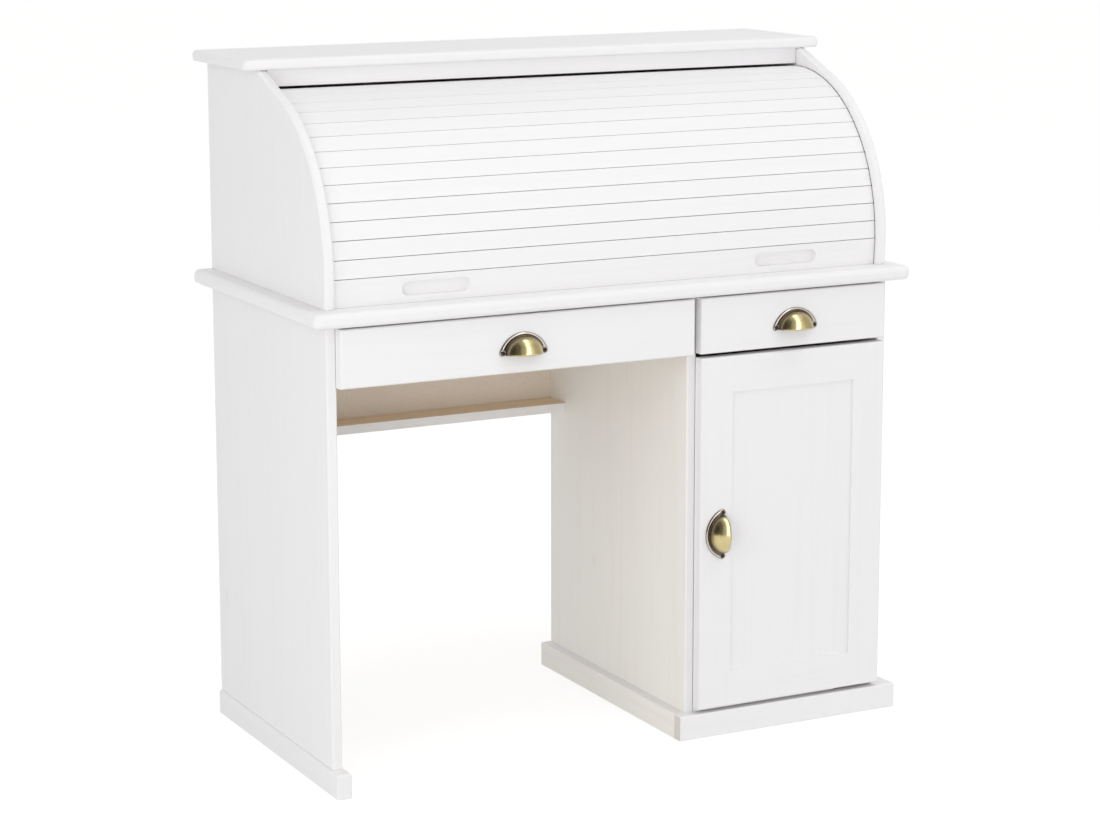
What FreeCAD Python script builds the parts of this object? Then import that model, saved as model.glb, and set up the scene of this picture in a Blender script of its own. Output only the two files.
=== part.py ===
import FreeCAD, Part
import math
import os

# Roll top secretary desk in painted pine. A side panel on a foot and a pedestal with a cupboard
# carry the desktop, a wide drawer hangs over the knee hole and a small one over the cupboard, and
# a tambour of narrow slats rolls up in grooves and down behind the inner back.
# Millimetres. +X is to the right of someone facing the front, +Y to the back and +Z up. The origin
# is on the floor, at the middle of the desk's overall box.

# Case
case_width = 1020.0
panel_thickness = 17.0
desktop_height = 770.0
desktop_thickness = 24.0
desktop_side_overhang = 30.0
desktop_front_overhang = 32.0
desktop_corner_radius = 13.0
desktop_top_round = 10.0
desktop_under_round = 8.0
back_board_thickness = 3.5
back_board_inset = 3.0
back_lip = 1.0
edge_bevel = 2.0

# Left foot
foot_height = 40.0
foot_side_step = 4.0
foot_front_step = 28.0

# Pedestal
pedestal_width = 384.5
plinth_height = 41.5
plinth_thickness = 20.0
plinth_joint_gap = 0.5
cupboard_floor_thickness = 16.0
cupboard_floor_setback = 30.0
divider_thickness = 16.0
divider_front_setback = 45.0
shelf_thickness = 16.0
shelf_height = 330.0
shelf_front_setback = 30.0
shelf_back_setback = 10.0
shelf_play = 0.5
batten_height = 22.0
batten_thickness = 12.0
batten_setback = 12.0

# Knee hole
stretcher_depth = 58.0
stretcher_thickness = 16.0
knee_back_height = 270.0

# Fronts of the drawers and the door
front_thickness = 20.0
front_gap = 1.0
front_overlap = 2.0
door_bottom = 49.0
front_row_gap = 7.0
drawer_front_height = 92.5
drawer_front_top_gap = 3.5

# Drawer boxes
drawer_side_thickness = 12.0
drawer_side_height = 66.0
drawer_back_clearance = 65.0
drawer_bottom_thickness = 4.0
drawer_bottom_rise = 8.0
drawer_play = 1.0
drawer_seat_gap = 0.3
runner_thickness = 12.0
runner_height = 12.0
runner_setback = 8.0
runner_back_clearance = 76.0
runner_rise = 2.0
groove_depth = 6.0
groove_play = 0.15

# Door
door_frame_width = 60.0
door_panel_thickness = 8.0
door_panel_recess = 3.5
hinge_end_distance = 80.0
hinge_cup_radius = 17.5
hinge_cup_depth = 11.0
hinge_cup_wall = 1.0
hinge_cup_edge = 4.5
hinge_cup_play = 0.1
hinge_plate_thickness = 0.8
hinge_plate_width = 62.0
hinge_plate_depth = 22.0
hinge_arm_width = 16.0
hinge_arm_height = 12.0
hinge_arm_length = 62.0
hinge_arm_setback = 4.0
hinge_nose_width = 9.0
hinge_nose_play = 0.3
hinge_nose_gap = 12.0

# Cup pulls
pull_dome_radius = 33.0
pull_dome_height = 29.0
pull_depth = 25.0
pull_wall = 1.5
pull_band_slopes = [math.radians(slope) for slope in (8.0, 40.0, 74.0)]
pull_height = 35.0
pull_flange_thickness = 2.5
pull_lug_radius = 6.0
pull_lug_rise = 3.5
pull_screw_spacing = 73.0
door_pull_inset = 10.0
screw_head_radius = 3.4
screw_head_height = 2.0
screw_shank_radius = 1.6
screw_length = 15.0
screw_play = 0.05

# Tambour
slat_count = 15
slat_pitch = 29.0
slat_gap = 1.6
slat_thickness = 10.0
slat_flare = 0.65
slat_bevel = 0.4
slat_end_play = 0.7
rail_height = 43.0
rail_thickness = 15.0
rail_lift = 0.5
rail_stop_distance = 27.5
tongue_thickness = 5.0
tongue_length = 6.0
tongue_set_in = 2.0
tongue_end_play = 0.4
grip_length = 118.0
grip_height = 23.0
grip_depth = 7.0
grip_spacing = 636.0
grip_top_distance = 9.0
canvas_thickness = 0.8
canvas_end_setback = 25.0
canvas_gap = 0.1
canvas_slot_depth = 8.0

# Track of the tambour, a spiral that starts on the desktop and tightens towards its tail
roll_turn = math.radians(222.6)
roll_lean = math.radians(8.5)
roll_tightening = 1.869
arc_count = 6
track_front_inset = 18.5
track_back_margin = 24.7
track_width = 11.0
track_end_room = 10.0
panel_lip = 11.0
panel_top_heading = math.radians(22.0)

# Upper case
fascia_lap = 27.5
fascia_gap = 4.5
fascia_height = 27.0
fascia_thickness = 17.0
fascia_end_gap = 0.5
upper_edge_bevel = 4.0
crown_thickness = 18.0
crown_side_overhang = 24.0
crown_front_overhang = 9.5
crown_corner_radius = 9.0
crown_top_round = 7.0
crown_under_round = 5.0
inner_back_thickness = 10.0
inner_back_heading = math.radians(-42.0)
inner_back_clearance = 14.0
letter_shelf_height = 140.0
letter_shelf_depth = 135.0
letter_shelf_thickness = 12.0
letter_divider_thickness = 9.0
letter_divider_setback = 6.0
letter_divider_count = 3

# Modelling aids
cut_overrun = 5.0
same_place = 0.01

# The path of the slats' middles, counted from its start on the desktop
tambour_length = rail_lift + rail_height + slat_count * slat_pitch
fascia_station = tambour_length - fascia_lap
tambour_travel = fascia_station - rail_stop_distance - rail_height - rail_lift
track_length = tambour_length + tambour_travel
arc_length = track_length / arc_count
start_curvature = 2 * roll_turn / (track_length * (1 + roll_tightening))
quarter_turn = math.pi / 2
start_heading = quarter_turn + roll_lean


def arc_radius(index):
    """Radius of one of the track's arcs, whose curvature grows evenly along the track."""
    middle_share = (index + 0.5) / arc_count
    return 1 / (start_curvature * (1 + (roll_tightening - 1) * middle_share))


def along_arc(start, radius, length):
    """Place and heading after a length of arc that turns from going up to going back."""
    y, z, heading = start
    end_heading = heading - length / radius
    end_y = y + radius * (math.sin(heading) - math.sin(end_heading))
    end_z = z + radius * (math.cos(end_heading) - math.cos(heading))
    return end_y, end_z, end_heading


arc_starts = [(0.0, 0.0, start_heading)]
for arc_index in range(arc_count):
    arc_starts.append(along_arc(arc_starts[-1], arc_radius(arc_index), arc_length))


def path_pose(station):
    """Place and heading on the track at a distance along it, from the track's start."""
    index = min(max(int(station // arc_length), 0), arc_count - 1)
    return along_arc(arc_starts[index], arc_radius(index), station - index * arc_length)


def station_of_heading(heading):
    """Distance along the track at which it points the given way."""
    index = 0
    while index < arc_count - 1 and arc_starts[index + 1][2] > heading:
        index += 1
    return index * arc_length + (arc_starts[index][2] - heading) * arc_radius(index)


track_rise = path_pose(station_of_heading(0.0))[1]
track_reach = path_pose(station_of_heading(-quarter_turn))[0]

# Places that follow from the sizes
case_depth = track_front_inset + track_reach + track_back_margin
front_reach = front_gap + front_thickness + pull_depth
back_reach = back_board_thickness + back_lip
case_front = (front_reach - back_reach - case_depth) / 2
case_back = case_front + case_depth
back_face = case_back + back_board_thickness
case_right = case_width / 2
case_left = -case_right
inside_right = case_right - panel_thickness
inside_left = -inside_right
pedestal_left = case_right - pedestal_width
pedestal_inside_left = pedestal_left + panel_thickness
desktop_bottom = desktop_height - desktop_thickness
front_back = case_front - front_gap
front_face = front_back - front_thickness
stretcher_height = desktop_bottom - knee_back_height
drawer_front_top = desktop_bottom - drawer_front_top_gap
drawer_front_bottom = drawer_front_top - drawer_front_height
door_top = drawer_front_bottom - front_row_gap
divider_top = drawer_front_bottom + front_row_gap / 2
divider_bottom = divider_top - divider_thickness
cupboard_floor_top = plinth_height + cupboard_floor_thickness
fronts_left = inside_left - front_overlap
fronts_right = inside_right + front_overlap
pedestal_fronts_left = pedestal_inside_left - front_overlap
centre_front_right = pedestal_left + front_overlap
track_front = case_front + track_front_inset
track_top = desktop_height + track_rise + slat_thickness / 2
fascia_bottom = track_top + fascia_gap
crown_bottom = fascia_bottom + fascia_height
slat_width = slat_pitch - slat_gap
slat_end = inside_right - slat_end_play
track_depth = tongue_length + tongue_end_play
panel_edge_offset = slat_thickness / 2 + panel_lip
canvas_outer = -slat_thickness / 2 - canvas_gap
canvas_inner = canvas_outer - canvas_thickness
canvas_start = rail_lift + rail_height - canvas_slot_depth
pull_bottom = pull_lug_rise - pull_lug_radius
# the flange's round edge runs smoothly into the round lugs
pull_lug_top = pull_height - pull_lug_radius
pull_flange_drop = (((pull_screw_spacing / 2) ** 2 + pull_lug_rise ** 2 - pull_lug_top ** 2)
                    / (2 * (pull_lug_top - pull_lug_rise)))
pull_flange_radius = pull_height + pull_flange_drop
pull_meeting = pull_lug_rise + (pull_lug_radius * (pull_lug_rise + pull_flange_drop)
                                / (pull_flange_radius - pull_lug_radius))


def track_pose(station):
    """Place and heading on the track in the desk's own frame."""
    y, z, heading = path_pose(station)
    return track_front + y, desktop_height + z, heading


def track_point(station, offset, x):
    """Point beside the track, a distance out from the slats' middles."""
    y, z, heading = track_pose(station)
    return FreeCAD.Vector(x, y - offset * math.sin(heading), z + offset * math.cos(heading))


def track_arcs(start, end, offset, x):
    """Arcs that run beside the track between two stations."""
    joints = [index * arc_length for index in range(1, arc_count)]
    stops = [start] + [joint for joint in joints if start < joint < end] + [end]
    edges = []
    for first, last in zip(stops, stops[1:]):
        middle = (first + last) / 2
        points = [track_point(station, offset, x) for station in (first, middle, last)]
        edges.append(Part.Arc(*points).toShape())
    return edges


def track_band(start, end, inner, outer, x_low, x_high):
    """Solid that follows the track between two stations and two offsets."""
    outer_arcs = track_arcs(start, end, outer, x_low)
    inner_arcs = track_arcs(start, end, inner, x_low)
    ends = []
    for station in (start, end):
        low = track_point(station, inner, x_low)
        high = track_point(station, outer, x_low)
        ends.append(Part.makeLine(low, high))
    outline = Part.Wire(Part.__sortEdges__(outer_arcs + inner_arcs + ends))
    return Part.Face(outline).extrude(FreeCAD.Vector(x_high - x_low, 0, 0))


fascia_face = track_pose(fascia_station)[0]
crown_front = fascia_face - crown_front_overhang
crown_top = crown_bottom + crown_thickness


def board(x_range, y_range, z_range):
    """Plain board between two places on each axis."""
    corner = FreeCAD.Vector(x_range[0], y_range[0], z_range[0])
    lengths = [high - low for low, high in (x_range, y_range, z_range)]
    return Part.makeBox(*lengths, corner)


def rod(radius, length, start, direction):
    """Round rod from a start point along a direction."""
    return Part.makeCylinder(radius, length, FreeCAD.Vector(*start), FreeCAD.Vector(*direction))


def lies_at(edge, axis, place):
    """True for an edge that lies wholly at one place on an axis."""
    box = edge.BoundBox
    low = getattr(box, axis + "Min")
    high = getattr(box, axis + "Max")
    return abs(low - place) < same_place and abs(high - place) < same_place


def runs_along(edge, axis):
    """True for a straight edge along an axis."""
    box = edge.BoundBox
    others = [other for other in "XYZ" if other != axis]
    return all(getattr(box, other + "Length") < same_place for other in others)


def rounded(shape, radius, chosen):
    """Shape with the edges that a test picks rounded over."""
    return shape.makeFillet(radius, [edge for edge in shape.Edges if chosen(edge)])


def bevelled(shape, width, chosen):
    """Shape with the edges that a test picks bevelled."""
    return shape.makeChamfer(width, [edge for edge in shape.Edges if chosen(edge)])


def bevelled_front(shape, plain_axis="", plain_place=0.0):
    """Board with the edges of its front face bevelled, except those at a plain joint."""
    return bevelled(shape, edge_bevel, lambda edge: lies_at(edge, "Y", front_face)
                    and not (plain_axis and lies_at(edge, plain_axis, plain_place)))


def carcass_panel(x_low, z_low):
    """Upright panel under the desktop with its front edges bevelled."""
    panel = board((x_low, x_low + panel_thickness), (case_front, case_back), (z_low, desktop_bottom))
    return bevelled(panel, edge_bevel, lambda edge: lies_at(edge, "Y", case_front) and runs_along(edge, "Z"))


def shelf_battens():
    """Strips on the pedestal panels that carry the cupboard shelf."""
    y_range = (case_front + shelf_front_setback + batten_setback, case_back - shelf_back_setback)
    z_range = (shelf_height - batten_height, shelf_height)
    left = board((pedestal_inside_left, pedestal_inside_left + batten_thickness), y_range, z_range)
    right = board((inside_right - batten_thickness, inside_right), y_range, z_range)
    return Part.makeCompound([left, right])


def is_outer_foot_edge(edge, front):
    """True for the upper edges of a foot and the upright ones at its front."""
    return lies_at(edge, "Z", foot_height) or lies_at(edge, "Y", front)


def left_foot():
    """Foot rail under the left side panel, a step wider and longer than the panel."""
    x_range = (case_left - foot_side_step, case_left + panel_thickness + foot_side_step)
    front = case_front - foot_front_step
    foot = board(x_range, (front, case_back), (0, foot_height))
    return bevelled(foot, edge_bevel, lambda edge: not lies_at(edge, "Y", case_back)
                    and not lies_at(edge, "Z", 0.0) and is_outer_foot_edge(edge, front))


def plinth_board(x_range, y_range, outer_axis, outer_place):
    """Plinth board with its outer top edge bevelled."""
    plinth = board(x_range, y_range, (0, plinth_height))
    return bevelled(plinth, edge_bevel, lambda edge: lies_at(edge, "Z", plinth_height)
                    and lies_at(edge, outer_axis, outer_place))


def top_board(half_width, front, back, z_range, corner_radius, top_round, under_round):
    """Top with rounded front corners and a rounded nose along its front and ends."""
    top = board((-half_width, half_width), (front, back), z_range)
    top = rounded(top, corner_radius, lambda edge: lies_at(edge, "Y", front) and runs_along(edge, "Z"))
    for place, radius in ((z_range[1], top_round), (z_range[0], under_round)):
        top = rounded(top, radius, lambda edge: lies_at(edge, "Z", place) and not lies_at(edge, "Y", back))
    return top


def upper_side(x_low, groove_x):
    """Upper side panel with its curved front edge and the groove that the slats run in."""
    edge_start = -panel_edge_offset
    edge_end = station_of_heading(panel_top_heading)
    arcs = track_arcs(edge_start, edge_end, panel_edge_offset, x_low)
    foot = track_point(edge_start, panel_edge_offset, x_low)
    shoulder = track_point(edge_end, panel_edge_offset, x_low)
    run = (crown_bottom - shoulder.z) / math.tan(panel_top_heading)
    corners = [shoulder,
               FreeCAD.Vector(x_low, shoulder.y + run, crown_bottom),
               FreeCAD.Vector(x_low, case_back, crown_bottom),
               FreeCAD.Vector(x_low, case_back, foot.z),
               foot]
    lines = [Part.makeLine(first, last) for first, last in zip(corners, corners[1:])]
    outline = Part.Wire(Part.__sortEdges__(arcs + lines))
    panel = Part.Face(outline).extrude(FreeCAD.Vector(panel_thickness, 0, 0))
    x_range = (x_low - cut_overrun, x_low + panel_thickness + cut_overrun)
    below = board(x_range, (foot.y - cut_overrun, case_back + cut_overrun),
                  (foot.z - cut_overrun, desktop_height))
    panel = panel.cut(below)
    panel = bevelled(panel, upper_edge_bevel, is_upper_front_edge)
    groove = track_band(-track_end_room, track_length + track_end_room, -track_width / 2, track_width / 2,
                        *groove_x)
    return panel.cut(groove)


def is_upper_front_edge(edge):
    """True for the edges along the curved front of an upper side panel, not across it."""
    box = edge.BoundBox
    along_front = box.YMax < fascia_face and box.XLength < same_place
    return along_front and not lies_at(edge, "Z", desktop_height) and not lies_at(edge, "Z", crown_bottom)


def add_carcass(nodes):
    """Panels, plinth, boards and tops of the fixed case."""
    nodes["left_side_panel"] = carcass_panel(case_left, foot_height)
    nodes["left_foot"] = left_foot()
    nodes["pedestal_left_panel"] = carcass_panel(pedestal_left, 0.0)
    nodes["pedestal_right_panel"] = carcass_panel(inside_right, 0.0)
    plinth_x = (pedestal_left - plinth_thickness, case_right + plinth_thickness)
    plinth_front = case_front - plinth_thickness
    nodes["plinth_front_board"] = plinth_board(plinth_x, (plinth_front, case_front), "Y", plinth_front)
    plinth_side_y = (case_front + plinth_joint_gap, case_back)
    nodes["plinth_left_board"] = plinth_board((plinth_x[0], pedestal_left), plinth_side_y, "X", plinth_x[0])
    nodes["plinth_right_board"] = plinth_board((case_right, plinth_x[1]), plinth_side_y, "X", plinth_x[1])
    cupboard_x = (pedestal_inside_left, inside_right)
    nodes["cupboard_floor"] = board(cupboard_x, (case_front + cupboard_floor_setback, case_back),
                                    (plinth_height, cupboard_floor_top))
    nodes["drawer_divider"] = board(cupboard_x, (case_front + divider_front_setback, case_back),
                                    (divider_bottom, divider_top))
    nodes["cupboard_shelf"] = board((pedestal_inside_left + shelf_play, inside_right - shelf_play),
                                    (case_front + shelf_front_setback, case_back - shelf_back_setback),
                                    (shelf_height, shelf_height + shelf_thickness))
    nodes["shelf_battens"] = shelf_battens()
    back_y = (case_back, back_face)
    seam = pedestal_left + panel_thickness / 2
    nodes["cupboard_back"] = board((seam, case_right - back_board_inset), back_y,
                                   (plinth_height, desktop_bottom))
    nodes["knee_back_board"] = board((case_left + back_board_inset, seam), back_y,
                                     (stretcher_height, desktop_bottom))
    nodes["knee_stretcher"] = board((inside_left, pedestal_left), (case_back - stretcher_depth, case_back),
                                    (stretcher_height, stretcher_height + stretcher_thickness))
    nodes["desktop"] = top_board(case_right + desktop_side_overhang, case_front - desktop_front_overhang,
                                 back_face + back_lip, (desktop_bottom, desktop_height),
                                 desktop_corner_radius, desktop_top_round, desktop_under_round)


def add_upper_case(nodes):
    """Upper sides, crown, backs and the letter shelf behind the tambour."""
    left_groove_x = (inside_left - track_depth, inside_left + cut_overrun)
    right_groove_x = (inside_right - cut_overrun, inside_right + track_depth)
    nodes["upper_left_side"] = upper_side(case_left, left_groove_x)
    nodes["upper_right_side"] = upper_side(inside_right, right_groove_x)
    inside_x = (inside_left, inside_right)
    fascia_x = (inside_left + fascia_end_gap, inside_right - fascia_end_gap)
    nodes["fascia_rail"] = board(fascia_x, (fascia_face, fascia_face + fascia_thickness),
                                 (fascia_bottom, crown_bottom))
    nodes["crown"] = top_board(case_right + crown_side_overhang, crown_front, back_face + back_lip,
                               (crown_bottom, crown_top),
                               crown_corner_radius, crown_top_round, crown_under_round)
    nodes["upper_back"] = board((case_left + back_board_inset, case_right - back_board_inset),
                                (case_back, back_face), (desktop_height, crown_bottom))
    back_y, back_z, heading = track_pose(station_of_heading(inner_back_heading))
    inner_face = back_y - inner_back_thickness
    inner_top = back_z - inner_back_clearance
    nodes["inner_back"] = board(inside_x, (inner_face, back_y), (desktop_height, inner_top))
    shelf_bottom = desktop_height + letter_shelf_height
    shelf_front = inner_face - letter_shelf_depth
    nodes["letter_shelf"] = board(inside_x, (shelf_front, inner_face),
                                  (shelf_bottom, shelf_bottom + letter_shelf_thickness))
    bay = (inside_right - inside_left) / (letter_divider_count + 1)
    dividers = []
    for index in range(letter_divider_count):
        middle = inside_left + (index + 1) * bay
        x_range = (middle - letter_divider_thickness / 2, middle + letter_divider_thickness / 2)
        dividers.append(board(x_range, (shelf_front + letter_divider_setback, inner_face),
                              (desktop_height, shelf_bottom)))
    nodes["letter_dividers"] = Part.makeCompound(dividers)


def pull_screw_places():
    """Middles of a pull's two screws, in the pull's own frame."""
    return [(side * pull_screw_spacing / 2, 0.0, pull_lug_rise) for side in (-1, 1)]


def pull_dome(wall):
    """Dome shared by leaning rods, each touching the pull's rounded side view, drawn in by a wall."""
    dome = None
    length = 4 * pull_dome_radius
    for slope in pull_band_slopes:
        touch = FreeCAD.Vector(0, -pull_depth * math.cos(slope), pull_dome_height * math.sin(slope))
        along = FreeCAD.Vector(0, pull_depth * math.sin(slope), pull_dome_height * math.cos(slope)).normalize()
        inward = FreeCAD.Vector(0, along.z, -along.y)
        start = touch + inward * pull_dome_radius - along * (length / 2)
        band = rod(pull_dome_radius - wall, length, start, along)
        dome = dome.common(band) if dome else band
    return dome


def cup_pull():
    """Cup pull in its own frame: mouth along X at height zero, back at Y zero, dome towards the front."""
    front = (0, -1, 0)
    flange = rod(pull_flange_radius, pull_flange_thickness, (0, 0, -pull_flange_drop), front)
    wide = (-pull_flange_radius, pull_flange_radius)
    deep = (-pull_depth - cut_overrun, 0)
    flange = flange.common(board(wide, deep, (pull_meeting, pull_height)))
    pull = pull_dome(0.0).common(board(wide, deep, (0, pull_height))).fuse(flange)
    for place in pull_screw_places():
        pull = pull.fuse(rod(pull_lug_radius, pull_flange_thickness, place, front))
    pull = pull.removeSplitter().cut(pull_dome(pull_wall))
    for place in pull_screw_places():
        start = (place[0], cut_overrun, place[2])
        length = pull_flange_thickness + 2 * cut_overrun
        pull = pull.cut(rod(screw_shank_radius + screw_play, length, start, front))
    return pull


def pull_screws():
    """Two round-headed screws in the pull's own frame."""
    screws = []
    for x, y, z in pull_screw_places():
        head_start = (x, -pull_flange_thickness, z)
        head = rod(screw_head_radius, screw_head_height, head_start, (0, -1, 0))
        screws.append(head.fuse(rod(screw_shank_radius, screw_length, head_start, (0, 1, 0))))
    return Part.makeCompound(screws)


def add_pull(nodes, prefix, screw_prefix, board_node, x, z, quarter_turns):
    """Cup pull with its screws on a board's face, and the screw holes in that board."""
    turn = FreeCAD.Rotation(FreeCAD.Vector(0, 1, 0), math.degrees(quarter_turns * quarter_turn))
    place = FreeCAD.Placement(FreeCAD.Vector(x, front_face, z), turn)
    for name, shape in ((prefix + "_pull", cup_pull()), (screw_prefix + "_pull_screws", pull_screws())):
        shape.Placement = place
        nodes[name] = shape
    hole_length = screw_length - pull_flange_thickness + screw_play
    for spot in pull_screw_places():
        start = place.multVec(FreeCAD.Vector(*spot))
        hole = rod(screw_shank_radius + screw_play, hole_length, start, (0, 1, 0))
        nodes[board_node] = nodes[board_node].cut(hole)


def add_drawer(nodes, name, front_x, bay_x, seat):
    """Drawer of a front, two grooved sides, a back and a bottom, running between two panels."""
    front = board(front_x, (front_face, front_back), (drawer_front_bottom, drawer_front_top))
    front = bevelled_front(front)
    low_z = seat + drawer_seat_gap
    box_end = case_back - drawer_back_clearance
    bottom_z = (low_z + drawer_bottom_rise, low_z + drawer_bottom_rise + drawer_bottom_thickness)
    outer_x = (bay_x[0] + drawer_play, bay_x[1] - drawer_play)
    inner_x = (outer_x[0] + drawer_side_thickness, outer_x[1] - drawer_side_thickness)
    groove_x = (inner_x[0] - groove_depth, inner_x[1] + groove_depth)
    groove = board(groove_x, (front_back - groove_depth, box_end + cut_overrun),
                   (bottom_z[0] - groove_play, bottom_z[1] + groove_play))
    sides = []
    for x_range in ((outer_x[0], inner_x[0]), (inner_x[1], outer_x[1])):
        side = board(x_range, (front_back, box_end), (low_z, low_z + drawer_side_height))
        sides.append(side.cut(groove))
    nodes[name + "_drawer_front"] = front.cut(groove)
    nodes[name + "_drawer_sides"] = Part.makeCompound(sides)
    nodes[name + "_drawer_back"] = board(inner_x, (box_end - drawer_side_thickness, box_end),
                                         (bottom_z[1], low_z + drawer_side_height))
    nodes[name + "_drawer_bottom"] = board((groove_x[0] + groove_play, groove_x[1] - groove_play),
                                           (front_back - groove_depth + groove_play, box_end), bottom_z)


def add_drawers(nodes):
    """The wide drawer on its runners and the small one on the divider."""
    centre_x = (fronts_left, centre_front_right)
    small_x = (pedestal_fronts_left, fronts_right)
    runner_bottom = drawer_front_bottom + runner_rise
    runner_top = runner_bottom + runner_height
    runners = []
    for x_low in (inside_left, pedestal_left - runner_thickness):
        y_low = case_front + runner_setback
        runners.append(board((x_low, x_low + runner_thickness), (y_low, case_back - runner_back_clearance),
                             (runner_bottom, runner_top)))
    nodes["drawer_runners"] = Part.makeCompound(runners)
    add_drawer(nodes, "centre", centre_x, (inside_left, pedestal_left), runner_top)
    add_drawer(nodes, "small", small_x, (pedestal_inside_left, inside_right), divider_top)
    pull_z = (drawer_front_bottom + drawer_front_top - pull_height - pull_bottom) / 2
    for name, x_range in (("centre", centre_x), ("small", small_x)):
        add_pull(nodes, name + "_drawer", name, name + "_drawer_front", sum(x_range) / 2, pull_z, 0)


def hinge_heights():
    """Heights of the door's two hinges."""
    return door_bottom + hinge_end_distance, door_top - hinge_end_distance


def hinge_cup(z):
    """Hollow hinge cup, sunk in the door's back, with its mounting plate."""
    x = fronts_right - hinge_cup_edge - hinge_cup_radius
    front = (0, -1, 0)
    start = (x, front_back, z)
    cup = rod(hinge_cup_radius, hinge_cup_depth, start, front)
    plate = board((x - hinge_plate_depth / 2, x + hinge_plate_depth / 2),
                  (front_back, front_back + hinge_plate_thickness),
                  (z - hinge_plate_width / 2, z + hinge_plate_width / 2))
    hollow = rod(hinge_cup_radius - hinge_cup_wall, hinge_cup_depth - hinge_cup_wall + hinge_plate_thickness,
                 (x, front_back + hinge_plate_thickness, z), front)
    return cup.fuse(plate).cut(hollow)


def hinge_arm(z):
    """Hinge arm on the inside of the right panel, with the nose that the cup closes over."""
    arm_front = case_front + hinge_arm_setback
    half = hinge_arm_width / 2
    arm = board((inside_right - hinge_arm_height, inside_right), (arm_front, arm_front + hinge_arm_length),
                (z - half, z + half))
    nose_right = inside_right - hinge_nose_gap
    cup_floor = front_back - hinge_cup_depth + hinge_cup_wall
    nose = board((nose_right - hinge_nose_width, nose_right), (cup_floor + hinge_nose_play, arm_front + half),
                 (z - half, z + half))
    neck = board((nose_right - hinge_nose_width, inside_right), (arm_front, arm_front + half),
                 (z - half, z + half))
    return arm.fuse([nose, neck]).removeSplitter()


def add_door(nodes):
    """Frame and panel door on two cup hinges."""
    x_range = (pedestal_fronts_left, fronts_right)
    y_range = (front_face, front_back)
    inner_x = (x_range[0] + door_frame_width, x_range[1] - door_frame_width)
    inner_z = (door_bottom + door_frame_width, door_top - door_frame_width)
    panel_y = (front_face + door_panel_recess, front_face + door_panel_recess + door_panel_thickness)
    groove_y = (panel_y[0] - groove_play, panel_y[1] + groove_play)
    groove_x = (inner_x[0] - groove_depth, inner_x[1] + groove_depth)
    groove_z = (inner_z[0] - groove_depth, inner_z[1] + groove_depth)
    cup_x = x_range[1] - hinge_cup_edge - hinge_cup_radius
    side_groove = board(groove_x, groove_y, (door_bottom - cut_overrun, door_top + cut_overrun))
    stiles = []
    for stile_x, joint in (((x_range[0], inner_x[0]), inner_x[0]), ((inner_x[1], x_range[1]), inner_x[1])):
        stile = board(stile_x, y_range, (door_bottom, door_top))
        stiles.append(bevelled_front(stile, "X", joint).cut(side_groove))
    bore_depth = hinge_cup_depth + hinge_cup_play
    for z in hinge_heights():
        bore = rod(hinge_cup_radius + hinge_cup_play, bore_depth, (cup_x, front_back, z), (0, -1, 0))
        stiles[1] = stiles[1].cut(bore)
    panel_groove = board(groove_x, groove_y, groove_z)
    rails = []
    for rail_z, outer_z in (((door_bottom, inner_z[0]), door_bottom), ((inner_z[1], door_top), door_top)):
        tenon_x = (groove_x[0] + groove_play, groove_x[1] - groove_play)
        rail = bevelled(board(inner_x, y_range, rail_z), edge_bevel,
                        lambda edge: lies_at(edge, "Y", front_face) and lies_at(edge, "Z", outer_z))
        rail = rail.fuse(board(tenon_x, panel_y, rail_z))
        rails.append(rail.cut(panel_groove))
    nodes["door_stiles"] = Part.makeCompound(stiles)
    nodes["door_rails"] = Part.makeCompound(rails)
    nodes["door_panel"] = board((groove_x[0] + groove_play, groove_x[1] - groove_play), panel_y,
                                (groove_z[0] + groove_play, groove_z[1] - groove_play))
    nodes["hinge_cups"] = Part.makeCompound([hinge_cup(z) for z in hinge_heights()])
    nodes["hinge_arms"] = Part.makeCompound([hinge_arm(z) for z in hinge_heights()])
    mouth_x = x_range[0] + door_pull_inset + pull_height
    add_pull(nodes, "door", "door", "door_stiles", mouth_x, (door_bottom + door_top) / 2, -1)


def slat_bar(width, inner, outer, tongue_width, low_flare):
    """Slat lying flat in its own frame, wider outside: X along it, Y up the track, Z out of the desk."""
    corners = [(-width / 2, inner), (width / 2, inner),
               (width / 2 + slat_flare, outer), (-width / 2 - low_flare, outer)]
    outline = Part.makePolygon([FreeCAD.Vector(-slat_end, y, z) for y, z in corners + corners[:1]])
    bar = Part.Face(outline).extrude(FreeCAD.Vector(2 * slat_end, 0, 0))
    bar = bevelled(bar, slat_bevel, lambda edge: lies_at(edge, "Z", outer) and runs_along(edge, "X"))
    tongue_end = inside_right + tongue_length
    tongue = board((-tongue_end, tongue_end), (-tongue_width / 2, tongue_width / 2),
                   (-tongue_thickness / 2, tongue_thickness / 2))
    return bar.fuse(tongue).removeSplitter()


def set_on_track(shape, station):
    """Moves a slat from its own frame to its place on the track."""
    y, z, heading = track_pose(station)
    turn = FreeCAD.Rotation(FreeCAD.Vector(1, 0, 0), math.degrees(heading))
    shape.Placement = FreeCAD.Placement(FreeCAD.Vector(0, y, z), turn)
    return shape


def rail_station():
    """Station of the bottom rail's middle when the tambour is shut."""
    return rail_lift + rail_height / 2


def slat_station(index):
    """Station of a slat's middle when the tambour is shut, counted up from the bottom rail."""
    return rail_lift + rail_height + slat_gap + slat_width / 2 + index * slat_pitch


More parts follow.
